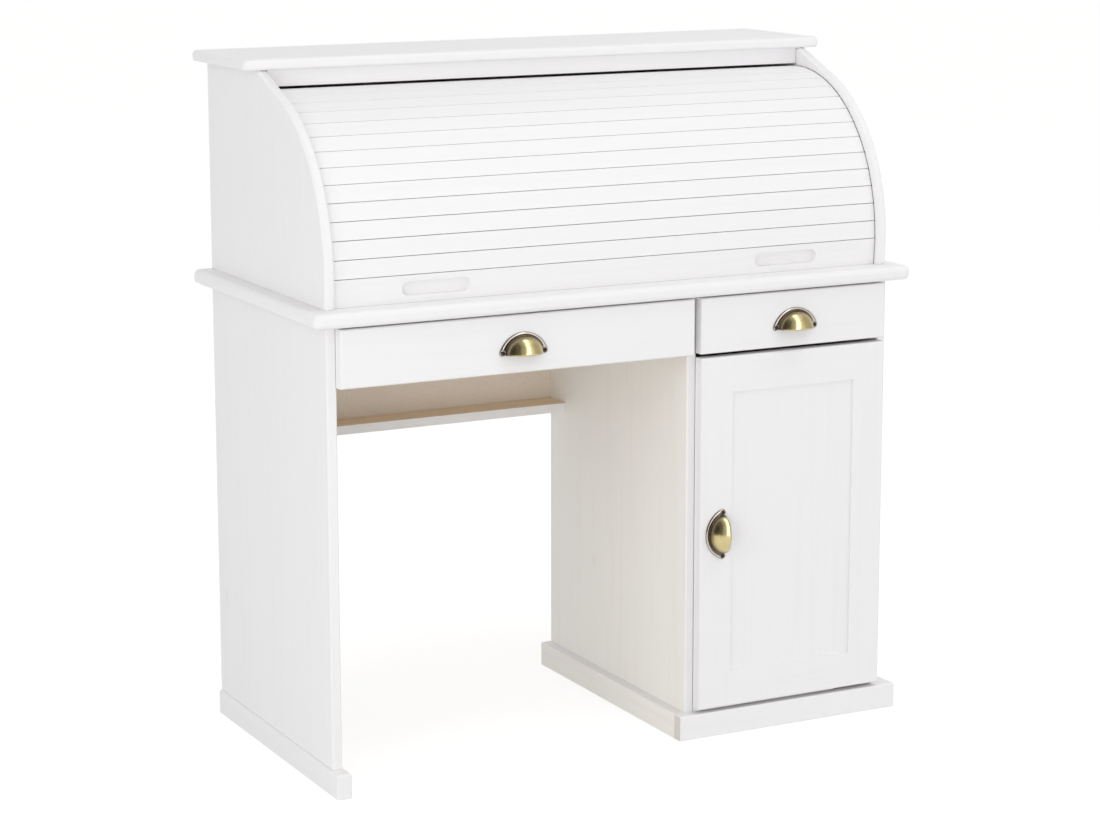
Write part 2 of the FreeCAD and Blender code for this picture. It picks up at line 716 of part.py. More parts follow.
def bottom_rail():
    """Bottom rail of the tambour, with a finger grip near each end and a slot that holds the canvas."""
    outer = slat_thickness / 2
    rail = slat_bar(rail_height, outer - rail_thickness, outer, rail_height - 4 * tongue_set_in, 0.0)
    grip_middle = rail_height / 2 - grip_top_distance - grip_height / 2
    grip_radius = grip_height / 2
    straight = grip_length / 2 - grip_radius
    grip_z = (outer - grip_depth, outer + cut_overrun)
    for side in (-1, 1):
        middle = side * grip_spacing / 2
        pocket = board((middle - straight, middle + straight),
                       (grip_middle - grip_radius, grip_middle + grip_radius), grip_z)
        for end in (-1, 1):
            start = (middle + end * straight, grip_middle, grip_z[0])
            pocket = pocket.fuse(rod(grip_radius, grip_depth + cut_overrun, start, (0, 0, 1)))
        rail = rail.cut(pocket.removeSplitter())
    rail = set_on_track(rail, rail_station())
    slot = track_band(canvas_start - canvas_gap, rail_lift + rail_height + cut_overrun,
                      canvas_inner - canvas_gap, canvas_outer + canvas_gap, -slat_end, slat_end)
    return rail.cut(slot)


def add_tambour(nodes):
    """Bottom rail, slats and the canvas that joins them at the back."""
    nodes["tambour_rail"] = bottom_rail()
    half = slat_thickness / 2
    for index in range(slat_count):
        bar = slat_bar(slat_width, -half, half, slat_width - 2 * tongue_set_in, slat_flare)
        nodes["tambour_slat_%02d" % (index + 1)] = set_on_track(bar, slat_station(index))
    canvas_x = slat_end - canvas_end_setback
    nodes["tambour_canvas"] = track_band(canvas_start, tambour_length, canvas_inner, canvas_outer,
                                         -canvas_x, canvas_x)


def build():
    """All pieces of the desk by name."""
    nodes = {}
    add_carcass(nodes)
    add_upper_case(nodes)
    add_drawers(nodes)
    add_door(nodes)
    add_tambour(nodes)
    return nodes


desk = build()
os.makedirs("parts", exist_ok=True)
for node_name, node_shape in desk.items():
    node_shape.exportStep(os.path.join("parts", node_name + ".step"))
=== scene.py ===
import math

import bmesh
import bpy
import numpy
from bpy.props import FloatProperty, FloatVectorProperty, IntProperty, PointerProperty
from mathutils import Matrix, Vector


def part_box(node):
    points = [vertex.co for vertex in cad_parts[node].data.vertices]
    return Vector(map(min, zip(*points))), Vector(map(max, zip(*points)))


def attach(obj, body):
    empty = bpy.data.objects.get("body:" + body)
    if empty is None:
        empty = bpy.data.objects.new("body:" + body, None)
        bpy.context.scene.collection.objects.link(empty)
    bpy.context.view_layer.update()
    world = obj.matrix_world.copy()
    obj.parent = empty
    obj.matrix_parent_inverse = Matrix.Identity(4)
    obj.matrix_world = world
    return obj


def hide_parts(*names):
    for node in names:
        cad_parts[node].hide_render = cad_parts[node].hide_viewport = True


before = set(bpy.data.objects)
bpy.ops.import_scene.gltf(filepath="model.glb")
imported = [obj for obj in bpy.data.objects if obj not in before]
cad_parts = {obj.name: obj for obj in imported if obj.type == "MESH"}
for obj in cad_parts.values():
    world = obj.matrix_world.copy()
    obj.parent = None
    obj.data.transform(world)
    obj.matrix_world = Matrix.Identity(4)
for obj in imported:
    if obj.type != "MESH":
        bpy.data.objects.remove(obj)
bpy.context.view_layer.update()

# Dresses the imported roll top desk. The boards stay as they were packed and get their finishes here,
# the cup pulls and their screws get smooth forms, and the tambour's canvas is split into a strip
# behind each slat, because it bends where the slats meet.
# Metres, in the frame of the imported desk: +X right, +Y to the back, +Z up.

bl_info = {
    "name": "Roll Top Secretary Desk",
    "version": (1, 0, 0),
    "blender": (4, 5, 0),
    "location": "3D View > Sidebar > Desk",
    "description": "Dresses the packed desk in glazed pine, aged brass pulls and a canvas backed "
                   "tambour",
    "category": "Object",
}

MM = 0.001
PHOTO_WIDTH = 1100
SENSOR_WIDTH = 36.0
VIEW_RANGE = 100.0
WHITE = (1.0, 1.0, 1.0, 1.0)

# boards by finish and by the way their grain runs: X, Y and Z
GLAZED_BOARDS = (
    ("desktop", "crown", "fascia_rail", "centre_drawer_front", "small_drawer_front", "door_rails",
     "tambour_rail"),
    ("left_foot", "plinth_right_board"),
    ("left_side_panel", "pedestal_right_panel", "upper_left_side", "upper_right_side",
     "door_stiles", "door_panel"),
)
BARE_BOARDS = (
    ("cupboard_floor", "drawer_divider", "cupboard_shelf", "inner_back", "letter_shelf",
     "centre_drawer_back", "small_drawer_back"),
    ("shelf_battens", "drawer_runners", "centre_drawer_sides", "small_drawer_sides"),
    ("letter_dividers",),
)
HARDBOARDS = ("cupboard_back", "knee_back_board", "upper_back", "centre_drawer_bottom",
              "small_drawer_bottom")
STEEL_NODES = ("hinge_cups", "hinge_arms")
SLATS = sorted(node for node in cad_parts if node.startswith("tambour_slat_"))
FINE_EDGED = (*SLATS, "door_stiles", "door_rails", "door_panel", *STEEL_NODES)
# nodes of each pull and of its screws, their body, and the pull's quarter turns about Y
PULLS = (("centre_drawer_pull", "centre_pull_screws", "centre_drawer", 0),
         ("small_drawer_pull", "small_pull_screws", "small_drawer", 0),
         ("door_pull", "door_pull_screws", "cupboard_door", -1))

# settings with the colours of early wood, late wood and knots
TONES = {
    "glazed": ("glaze", "glazed_grain", "glazed_knot"),
    # the slats' tones are the glaze a trace paler: painted light on the tambour
    "slat": ("slat_glaze", "slat_grain", "glazed_grain"),
    # faces into the knee hole: the glaze with painted warm bounce light, paler and warmer
    "knee": ("knee_glaze", "knee_grain", "knee_knot"),
    "end": ("end_wood", "end_rings", "end_rings"),
    "ledge": ("ledge_wood", "ledge_grain", "bare_grain"),
    "bare": ("bare_wood", "bare_grain", "bare_knot"),
}
LEFT = (-1, 0, 0)
UP = (0, 0, 1)
# sizes of pine's patterns in millimetres, across the grain and along it
RINGS_MM = (11, 420)
FIBRES_MM = (1.6, 70)
DRIFT_MM = (90, 500)
KNOTS_MM = (140, 330)
# parts of the patterns' ranges that become late wood, streaks, edges of knots and other changes
LATE_WOOD = (0.47, 0.66)
STREAKS = (0.42, 0.68)
KNOT_EDGE = (0.035, 0.075)
MIDDLE_RANGE = (0.3, 0.7)
# how far apart in the tree the boards are cut, in repeats of a pattern
CUT_SPREAD = 90.0
# cosine from which a face counts as one of a side
SIDE_COSINE = 0.5
WEAKEST_GRAIN = 0.4
STREAK_COLOUR = 0.35
STREAK_HEIGHT = 0.4
# sizes of the other finishes' patterns in millimetres
FLECKS_MM = 4.0
BOARD_CLOUDS_MM = 120.0
BRASS_CLOUDS_MM = 9.0
BRASS_GRIT_MM = 0.7
PLATE_GRIT_MM = 1.2
THREAD_MM = 2.0
# roughness of the rubbed brass and of the brass under patina
BRASS_SHEEN = (0.22, 0.34)
GRIT_SHADE = 0.75

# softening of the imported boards
JOINED_MM = 0.01
FLAT_ANGLE = math.radians(0.5)
SHARP_ANGLE = math.radians(32)
EDGE_SEGMENTS = 3

# pull's flange: share of the way from the dome to the edge, and height in millimetres
FLANGE_PROFILE = ((-0.15, 0.0), (-0.1, 1.0), (0.06, 1.0), (0.16, 1.2), (0.24, 1.7), (0.34, 2.4),
                  (0.48, 2.85), (0.64, 3.0), (0.8, 2.8), (0.92, 2.2), (1.0, 1.2), (1.0, 0.0))
# sunk seats and screw heads: share of the radius, and height in millimetres
SEAT_PROFILE = ((1.08, 0.0), (1.08, 2.0), (1.0, 2.6), (0.92, 2.7), (0.84, 2.5), (0.78, 1.9),
                (0.75, 1.0), (0.0, 0.9))
HEAD_PROFILE = ((0.0, 2.5), (0.35, 2.45), (0.7, 2.2), (0.92, 1.8), (1.0, 1.4), (1.0, 0.8))
SEAT_FLOOR_MM = 0.7
SLOT_HALF_WIDTH = 0.16
SLOT_REACH = 0.75
SLOT_DEPTH_MM = 0.8
DOME_BANDS = 20
ROUND_STEPS = 32
SEAM_MM = 0.005
# patina on the pulls, and painted shade on the dome's foot: where the flange and its valley end, how
# dark each part is, and how far out from the board the dome's painted shade reaches
DOME_EDGE = 0.93
FLANGE_TOP_MM = 3.2
VALLEY_TOP_MM = 2.0
VALLEY_DARK = 0.5
RIM_DARK = 0.08
DOME_FOOT_SHADE_MOST = 0.95
DOME_FOOT_SHADE_GAIN = 1.4
DOME_FOOT_SHADE_MM = 14

STRIP_COLUMNS = 24
STRIP_ROWS = 4

# studio: distance of its walls, its height, and what the lamps point at
WALL = 3.2
CEILING = 4.0
FLOOR_DROP_MM = 0.5
FLOOR_SHOWN = 0.68
DESK_MIDDLE = (0.0, 0.0, 0.6)
KNEE_HOLE = (0.1, 0.0, 0.45)
# lamps: place, target, width and height
LAMPS = {
    "key": ((1.2, -1.1, 3.9), DESK_MIDDLE, 2.4, 2.0),
    "fill": ((-3.2, -1.6, 1.8), DESK_MIDDLE, 2.0, 2.2),
    "right": ((2.8, -2.4, 1.0), DESK_MIDDLE, 2.0, 2.2),
    "low": ((-2.35, -2.9, 0.7), KNEE_HOLE, 1.6, 1.2),
}
# glowing sheets of the studio, no lamps, that only gloss mirrors: painted reflections, dark, grey and
# bright, that draw the shaded sides and the highlight on the pulls; brightness and corners
MIRRORED = {
    "left_flag": (0.05, ((-WALL, -WALL, 0.0), (-WALL, 5.0, 0.0),
                         (-WALL, 5.0, CEILING), (-WALL, -WALL, CEILING))),
    "front_flag": (0.14, ((-WALL, -WALL, 0.0), (-1.1, -WALL, 0.0),
                          (-0.9, -WALL, CEILING), (-WALL, -WALL, CEILING))),
    "high_flag": (0.14, ((-WALL, -WALL, CEILING), (-0.9, -WALL, CEILING),
                         (-1.1, 0.0, CEILING), (-WALL, 0.0, CEILING))),
    "front_cloth": (0.5, ((-1.1, -WALL, 0.0), (0.2, -WALL, 0.0),
                          (0.8, -WALL, CEILING), (-0.9, -WALL, CEILING))),
    "high_cloth": (0.5, ((-0.9, -WALL, CEILING), (0.8, -WALL, CEILING),
                         (0.2, 0.0, CEILING), (-1.1, 0.0, CEILING))),
    # bright glowing strips: the painted highlight on the pulls
    "strip": (4.2, ((0.3, -WALL, 0.0), (1.2, -WALL, 0.0),
                    (1.8, -WALL, CEILING), (0.9, -WALL, CEILING))),
    "high_strip": (4.2, ((0.9, -WALL, CEILING), (1.8, -WALL, CEILING),
                         (1.2, 0.0, CEILING), (0.3, 0.0, CEILING))),
    "right_cloth": (0.6, ((WALL, -WALL, 0.0), (WALL, 1.5, 0.0),
                          (WALL, 1.5, CEILING), (WALL, -WALL, CEILING))),
}


def linear(hex_colour):
    """Scene linear red, green and blue of an sRGB hex value."""
    channels = [int(hex_colour[start:start + 2], 16) / 255 for start in (1, 3, 5)]
    return [c / 12.92 if c <= 0.04045 else ((c + 0.055) / 1.055) ** 2.4 for c in channels]


def per_metre(millimetres):
    """Texture scale at which one repeat takes the given millimetres."""
    return 1 / (millimetres * MM)


def colour_prop(name, description, hex_colour):
    """Colour setting that starts from an sRGB hex value."""
    return FloatVectorProperty(name=name, description=description, subtype="COLOR", size=3, min=0,
                               max=1, default=linear(hex_colour))


def length_prop(name, description, millimetres):
    """Length setting that starts from a size in millimetres."""
    return FloatProperty(name=name, description=description, subtype="DISTANCE", unit="LENGTH",
                         min=0, precision=4, default=millimetres * MM)


def angle_prop(name, description, degrees):
    """Angle setting that starts from degrees."""
    return FloatProperty(name=name, description=description, subtype="ANGLE",
                         default=math.radians(degrees))


def power_prop(name, description, watts):
    """Lamp power setting that starts from watts."""
    return FloatProperty(name=name, description=description, subtype="POWER", unit="POWER",
                         default=watts)


class DeskFinishes(bpy.types.PropertyGroup):
    """Colours and edge softness of the desk's finishes."""
    glaze: colour_prop("Glaze", "White glaze on the pine", "#F3F2F3")
    glazed_grain: colour_prop("Glazed grain", "Late wood that shows through the glaze", "#EBE9E6")
    glazed_knot: colour_prop("Glazed knots", "Knots that show through the glaze", "#E4DED3")
    # the slats' two tones are a trace paler than the glaze's: painted light for the stronger light on
    # the tambour
    slat_glaze: colour_prop("Slat glaze", "White glaze on the slats", "#F4F3F4")
    slat_grain: colour_prop("Slat grain", "Late wood that shows through it", "#EEECEA")
    # tones of the faces into the knee hole: white glaze with painted warm, paler bounce light
    knee_glaze: colour_prop("Knee hole glaze", "White glaze beside the knee hole", "#F9F7F2")
    knee_grain: colour_prop("Knee hole grain", "Late wood that shows through it", "#F2EDE4")
    knee_knot: colour_prop("Knee hole knots", "Knots that show through it", "#DDD0BB")
    end_wood: colour_prop("End grain", "Early wood on the sawn end of the plinth", "#E2DBD5")
    end_rings: colour_prop("End rings", "Late wood on the sawn end of the plinth", "#C8BCB2")
    ledge_wood: colour_prop("Ledge wood", "Early wood on top of the ledge", "#F6E2C8")
    ledge_grain: colour_prop("Ledge grain", "Late wood on top of the ledge", "#E6C7A0")
    bare_wood: colour_prop("Bare wood", "Early wood of the bare pine", "#EBD2AB")
    bare_grain: colour_prop("Bare grain", "Late wood of the bare pine", "#CFA26E")
    bare_knot: colour_prop("Bare knots", "Knots of the bare pine", "#8A5A30")
    hardboard: colour_prop("Hardboard", "Face of the thin backs", "#EFE4D7")
    hardboard_fleck: colour_prop("Hardboard flecks", "Fibres in the thin backs", "#DFD1C1")
    brass: colour_prop("Brass", "Rubbed brass of the pulls", "#CFBF8E")
    rubbed: colour_prop("Rubbed brass", "Paler brass on the pulls' flanges", "#C3BAB0")
    # this colour is also the painted shade on the dome's foot
    patina: colour_prop("Patina", "Dark patina in the pulls' hollows", "#564E48")
    screw: colour_prop("Screws", "Darkened screws of the pulls", "#4A423A")
    steel: colour_prop("Hinge steel", "Nickel plate of the hinges", "#B9B8B4")
    canvas: colour_prop("Canvas", "Cloth behind the slats", "#CFC6B2")
    canvas_shadow: colour_prop("Canvas hollows", "Gaps between the threads", "#9D937F")
    edge_round: length_prop("Edge round", "Width of the softened board edges", 0.9)
    fine_round: length_prop("Fine edge round", "Width of the softened edges at close joints", 0.3)


class DeskPulls(bpy.types.PropertyGroup):
    """Sizes of the cup pulls."""
    dome_radius: length_prop("Dome radius", "Half the width of the mouth", 33.0)
    dome_height: length_prop("Dome height", "Height of the dome on the board", 29.0)
    depth: length_prop("Depth", "How far the dome stands out", 25.0)
    wall: length_prop("Wall", "Thickness of the dome's metal", 1.5)
    height: length_prop("Height", "Height of the flange above the mouth", 35.0)
    lug_radius: length_prop("Lug radius", "Radius of the flange's round ends", 6.0)
    lug_rise: length_prop("Lug rise", "Height of the round ends' middles above the mouth", 3.5)
    seat_radius: length_prop("Seat radius", "Radius of the sunk seats round the screws", 4.6)
    screw_spacing: length_prop("Screw spacing", "Distance between the screws", 73.0)
    screw_radius: length_prop("Screw radius", "Radius of the screw heads", 3.2)
    turns: IntProperty(name="Steps", description="Steps round the arch", default=64, min=16)


class DeskCanvas(bpy.types.PropertyGroup):
    """Sizes of the canvas behind the slats."""
    thickness: length_prop("Thickness", "Thickness of the cloth", 0.7)
    glue_gap: length_prop("Glue gap", "Distance between the slats and the cloth", 0.1)
    bridge: length_prop("Bridge", "How far the cloth reaches into the gap beside each slat", 0.25)


class DeskStage(bpy.types.PropertyGroup):
    """Camera, lamps and floor."""
    focal_pixels: FloatProperty(name="Focal length", description="In pixels of the photograph",
                                default=2873.0)
    yaw: angle_prop("Yaw", "Turn of the view to the right of straight on", 27.29)
    pitch: angle_prop("Pitch", "Turn of the view below the horizon", 10.51)
    roll: angle_prop("Roll", "Turn about the line of sight", -0.08)
    eye: FloatVectorProperty(name="Eye", description="Place of the camera", subtype="TRANSLATION",
                             size=3, default=(-2.182, -4.207, 1.498))
    shift: FloatProperty(name="Shift", description="Upward shift of the lens", default=-0.05)
    floor: colour_prop("Floor", "Pale studio floor", "#EBEBEA")
    floor_size: length_prop("Floor size", "Side of the square floor", 60000.0)
    floor_glow: FloatProperty(name="Floor glow", description="White added where the floor is seen",
                              default=0.62)
    ambient: FloatProperty(name="Ambient", description="Strength of the even studio light",
                           default=0.67)
    key_power: power_prop("Key lamp", "Lamp high above the front", 25.0)
    low_power: power_prop("Low lamp", "Lamp that reaches into the knee hole", 18.5)
    right_power: power_prop("Right lamp", "Lamp at the front right", 15.0)
    fill_power: power_prop("Fill lamp", "Lamp at the left", 21.0)


def add_node(tree, kind, inputs=None, **settings):
    """Adds a node with its settings, values and links, and gives it back."""
    node = tree.nodes.new(kind)
    for name, value in settings.items():
        setattr(node, name, value)
    for key, value in (inputs or {}).items():
        if isinstance(value, bpy.types.NodeSocket):
            tree.links.new(value, node.inputs[key])
        else:
            node.inputs[key].default_value = value
    return node


def object_place(tree):
    """Place on the piece, in its own frame."""
    return add_node(tree, "ShaderNodeTexCoord").outputs["Object"]


def arithmetic(tree, operation, *values, clamp=False):
    """Result of an operation on one to three values."""
    return add_node(tree, "ShaderNodeMath", dict(enumerate(values)), operation=operation,
                    use_clamp=clamp).outputs[0]


def span(tree, value, source, target=(0.0, 1.0), curve="LINEAR"):
    """Value moved from one range to another, and kept inside it."""
    inputs = {"Value": value, "From Min": source[0], "From Max": source[1],
              "To Min": target[0], "To Max": target[1]}
    return add_node(tree, "ShaderNodeMapRange", inputs, interpolation_type=curve).outputs[0]


def noise(tree, place, scale, detail, roughness=0.5, distortion=0.0):
    """Irregular pattern, from 0 to 1."""
    inputs = {"Vector": place, "Scale": scale, "Detail": detail, "Roughness": roughness,
              "Distortion": distortion}
    return add_node(tree, "ShaderNodeTexNoise", inputs).outputs[0]


def mix(tree, share, first, second):
    """Colour on the way from the first to the second."""
    return add_node(tree, "ShaderNodeMix", {0: share, 6: first, 7: second},
                    data_type="RGBA").outputs[2]


def relief(tree, height, millimetres):
    """Normal of a surface with a fine relief."""
    return add_node(tree, "ShaderNodeBump", {"Height": height,
                                             "Distance": millimetres * MM}).outputs[0]


def surface(tree, inputs):
    """Ends a material with its shader."""
    shader = add_node(tree, "ShaderNodeBsdfPrincipled", inputs)
    add_node(tree, "ShaderNodeOutputMaterial", {"Surface": shader.outputs[0]})


def new_material(name):
    """Empty node material, with its tree."""
    material = bpy.data.materials.new(name)
    material.use_nodes = True
    material.node_tree.nodes.clear()
    return material, material.node_tree


def rgba(colour):
    """Colour setting with full opacity."""
    return (*colour, 1.0)


def tones(name):
    """Colours of early wood, late wood and knots."""
    look = bpy.context.scene.desk_finishes
    return [rgba(getattr(look, setting)) for setting in TONES[name]]


def pine(name, axis, wood, grain, knots, roughness, relief_mm, side=None, side_wood=None):
    """Pine board with its grain along one axis: growth rings, fine fibre streaks and a few knots.
    The rings' late wood is darker and stands a little proud, as in planed pine. Grain and knots are
    how strongly they show. The faces on one side of the board may have tones of their own."""
    material, tree = new_material(name)
    early, late, knot = tones(wood)
    if side:
        face = add_node(tree, "ShaderNodeNewGeometry")
        facing = add_node(tree, "ShaderNodeVectorMath", {0: face.outputs["True Normal"], 1: side},
                          operation="DOT_PRODUCT")
        on_side = arithmetic(tree, "GREATER_THAN", facing.outputs["Value"], SIDE_COSINE)
        early, late, knot = [mix(tree, on_side, tone, other)
                             for tone, other in zip(tones(wood), tones(side_wood))]
    place = object_place(tree)
    board = add_node(tree, "ShaderNodeObjectInfo")
    # each board is cut from another place in the tree
    cut = arithmetic(tree, "MULTIPLY", board.outputs["Random"], CUT_SPREAD)

    def stretched(across_mm, along_mm):
        """Place in repeats of a pattern, longer along the grain than across it."""
        scale = [per_metre(across_mm)] * 3
        scale[axis] = per_metre(along_mm)
        return add_node(tree, "ShaderNodeMapping", {"Vector": place, "Location": cut,
                                                    "Scale": scale}).outputs[0]

    rings = noise(tree, stretched(*RINGS_MM), 1.0, detail=3.0, roughness=0.55, distortion=0.35)
    fibres = noise(tree, stretched(*FIBRES_MM), 1.0, detail=2.0)
    drift = noise(tree, stretched(*DRIFT_MM), 1.0, detail=1.0)
    cells = add_node(tree, "ShaderNodeTexVoronoi", {"Vector": stretched(*KNOTS_MM), "Scale": 1.0})
    late_wood = span(tree, rings, LATE_WOOD, curve="SMOOTHSTEP")
    streaks = span(tree, fibres, STREAKS)
    knot_mask = span(tree, cells.outputs["Distance"], KNOT_EDGE, (knots, 0.0), "SMOOTHSTEP")
    strength = span(tree, drift, MIDDLE_RANGE, (grain * WEAKEST_GRAIN, grain))
    both = arithmetic(tree, "MULTIPLY_ADD", streaks, STREAK_COLOUR, late_wood)
    shown = arithmetic(tree, "MULTIPLY", both, strength, clamp=True)
    grained = mix(tree, shown, early, late)
    colour = mix(tree, knot_mask, grained, knot)
    sheen = span(tree, fibres, MIDDLE_RANGE, (roughness - 0.06, roughness + 0.08))
    height = arithmetic(tree, "MULTIPLY_ADD", streaks, STREAK_HEIGHT, late_wood)
    surface(tree, {"Base Color": colour, "Roughness": sheen,
                   "Normal": relief(tree, height, relief_mm), "Specular IOR Level": 0.2})
    return material


def glazed_pine(axis):
    """Pine under a brushed white glaze, a satin finish through which the grain only just shows."""
    return pine("glazed_pine_" + "xyz"[axis], axis, "glazed", grain=0.2, knots=0.25,
                roughness=0.46, relief_mm=0.03)


def bare_pine(axis):
    """Planed pine with no finish, dull, with clear growth rings and dark knots."""
    return pine("bare_pine_" + "xyz"[axis], axis, "bare", grain=0.75, knots=0.8,
                roughness=0.62, relief_mm=0.05)


def slat_pine():
    """Pine slats under the white glaze, painted a trace brighter than the boards: painted light for
    the stronger light on the tambour.
    """
    return pine("glazed_pine_slats", 0, "slat", grain=0.2, knots=0.4,
                roughness=0.46, relief_mm=0.03)


def knee_pine_painted_bounce(axis):
    """Glazed pine beside the knee hole. The faces that point left, into the knee hole, get paler and
    warmer tones: painted warm bounce light from the knee hole over the white glaze.
    """
    return pine("glazed_pine_knee_side_" + "xyz"[axis], axis, "glazed", grain=0.4, knots=0.3,
                roughness=0.48, relief_mm=0.04, side=LEFT, side_wood="knee")


def sawn_pine():
    """Glazed pine of the plinth's front, with brown end grain on the sawn end at its left."""
    return pine("glazed_pine_sawn_end", 0, "glazed", grain=0.2, knots=0.4,
                roughness=0.46, relief_mm=0.03, side=LEFT, side_wood="end")


def ledge_pine():
    """Glazed pine of the knee hole's ledge, left bare on top."""
    return pine("glazed_pine_bare_top", 0, "glazed", grain=0.6, knots=0.6,
                roughness=0.5, relief_mm=0.04, side=UP, side_wood="ledge")


def hardboard():
    """Thin hardboard, pressed from fibres: an even tan face with short darker flecks."""
    look = bpy.context.scene.desk_finishes
    material, tree = new_material("pressed_hardboard")
    place = object_place(tree)
    flecks = noise(tree, place, per_metre(FLECKS_MM), detail=5.0, roughness=0.7)
    clouds = noise(tree, place, per_metre(BOARD_CLOUDS_MM), detail=2.0)
    mask = span(tree, flecks, (0.5, 0.75), (0.0, 0.7))
    tone = span(tree, clouds, (0.35, 0.65), (0.0, 0.12))
    shown = arithmetic(tree, "ADD", mask, tone, clamp=True)
    colour = mix(tree, shown, rgba(look.hardboard), rgba(look.hardboard_fleck))
    surface(tree, {"Base Color": colour, "Roughness": 0.6, "Normal": relief(tree, flecks, 0.04)})
    return material


def aged_brass():
    """Cast brass, darkened and rubbed back: satin on the dome, paler and greyer on the flange, with
    brown patina left in the hollows, and painted shade, partly patina, on the dome by the board."""
    look = bpy.context.scene.desk_finishes
    material, tree = new_material("aged_brass")
    place = object_place(tree)
    # patina in the hollows, and painted shade on the dome's foot
    patina_and_shade_share = add_node(tree, "ShaderNodeAttribute", attribute_name="patina").outputs["Fac"]
    flange = add_node(tree, "ShaderNodeAttribute", attribute_name="flange").outputs["Fac"]
    clouds = noise(tree, place, per_metre(BRASS_CLOUDS_MM), detail=4.0)
    grit = noise(tree, place, per_metre(BRASS_GRIT_MM), detail=2.0)
    worn = span(tree, clouds, (0.3, 0.75), (0.0, 0.12))
    dark = arithmetic(tree, "ADD", patina_and_shade_share, worn, clamp=True)
    metal = mix(tree, flange, rgba(look.brass), rgba(look.rubbed))
    colour = mix(tree, dark, metal, rgba(look.patina))
    sheen = span(tree, dark, (0.0, 1.0), BRASS_SHEEN)
    surface(tree, {"Base Color": colour, "Metallic": 1.0, "Roughness": sheen,
                   "Normal": relief(tree, grit, 0.015)})
    return material


def plated_metal(name, colour, roughness):
    """Plated or blackened steel with a fine grit from tumbling."""
    material, tree = new_material(name)
    grit = noise(tree, object_place(tree), per_metre(PLATE_GRIT_MM), detail=3.0)
    sheen = span(tree, grit, MIDDLE_RANGE, (roughness - 0.05, roughness + 0.1))
    darker = [GRIT_SHADE * channel for channel in colour]
    tone = mix(tree, grit, rgba(colour), rgba(darker))
    surface(tree, {"Base Color": tone, "Metallic": 1.0, "Roughness": sheen})
    return material


def woven_canvas():
    """Plain woven cotton canvas, drawn with threads of 2 mm so that the weave shows."""
    look = bpy.context.scene.desk_finishes
    material, tree = new_material("woven_canvas")
    flat = add_node(tree, "ShaderNodeUVMap", uv_map="flat").outputs[0]
    # the wave texture runs 20 radians to the unit of its scale
    wave = {"Vector": flat, "Scale": per_metre(THREAD_MM) * math.pi / 10, "Distortion": 0.4,
            "Detail": 1.0}
    threads = [add_node(tree, "ShaderNodeTexWave", wave, bands_direction=direction).outputs["Fac"]
               for direction in ("X", "Y")]
    weave = arithmetic(tree, "MULTIPLY", *threads)
    colour = mix(tree, weave, rgba(look.canvas_shadow), rgba(look.canvas))
    surface(tree, {"Base Color": colour, "Roughness": 0.9, "Normal": relief(tree, weave, 0.3),
                   "Sheen Weight": 0.2})
    return material


def smooth_faces():
    """Geometry group that shades every face smoothly."""
    group = bpy.data.node_groups.new("smooth_faces", "GeometryNodeTree")
    for direction in ("INPUT", "OUTPUT"):
        group.interface.new_socket("Geometry", in_out=direction, socket_type="NodeSocketGeometry")
    source = add_node(group, "NodeGroupInput")
    smooth = add_node(group, "GeometryNodeSetShadeSmooth", {"Geometry": source.outputs[0]})
    add_node(group, "NodeGroupOutput", {0: smooth.outputs[0]})
    return group


def soften(thing, width, shading):
    """Rounds the sharp edges of a packed board, as sanding and glaze do. Its own mesh stays as it
    is."""
    weld = thing.modifiers.new("joined_faces", "WELD")
    weld.merge_threshold = JOINED_MM * MM
    flat = thing.modifiers.new("flat_faces", "DECIMATE")
    flat.decimate_type = "DISSOLVE"
    flat.angle_limit = FLAT_ANGLE
    shade = thing.modifiers.new("smooth_faces", "NODES")
    shade.node_group = shading
    edges = thing.modifiers.new("rounded_edges", "BEVEL")
    edges.width = width
    edges.segments = EDGE_SEGMENTS
    edges.limit_method = "ANGLE"
    edges.angle_limit = SHARP_ANGLE
    edges.use_clamp_overlap = True
    normals = thing.modifiers.new("even_shading", "WEIGHTED_NORMAL")
    normals.keep_sharp = True


def give(material, *things):
    """Puts a finish on pieces."""
    for thing in things:
        if thing.material_slots:
            thing.material_slots[0].material = material
        else:
            thing.data.materials.append(material)


def new_piece(name, mesh):
    """Object for a finished mesh."""
    piece = bpy.data.objects.new(name, mesh)
    bpy.context.scene.collection.objects.link(piece)
    return piece


def new_mesh(name, work):
    """Mesh of a finished form."""
    mesh = bpy.data.meshes.new(name)
    work.to_mesh(mesh)
    work.free()
    return mesh


def cast_mesh(name, work):
    """Smooth mesh of a cast form, with its seams joined."""
    bmesh.ops.remove_doubles(work, verts=work.verts, dist=SEAM_MM * MM)
    bmesh.ops.recalc_face_normals(work, faces=work.faces)
    mesh = new_mesh(name, work)
    mesh.polygons.foreach_set("use_smooth", [True] * len(mesh.polygons))
    return mesh


def grid_faces(work, rows, closed=False):
    """Quads between rows of points with the same count."""
    made = [[work.verts.new(point) for point in row] for row in rows]
    for low, high in zip(made, made[1:]):
        count = len(low)
        for index in range(count if closed else count - 1):
            after = (index + 1) % count
            work.faces.new((low[index], low[after], high[after], high[index]))
    return made


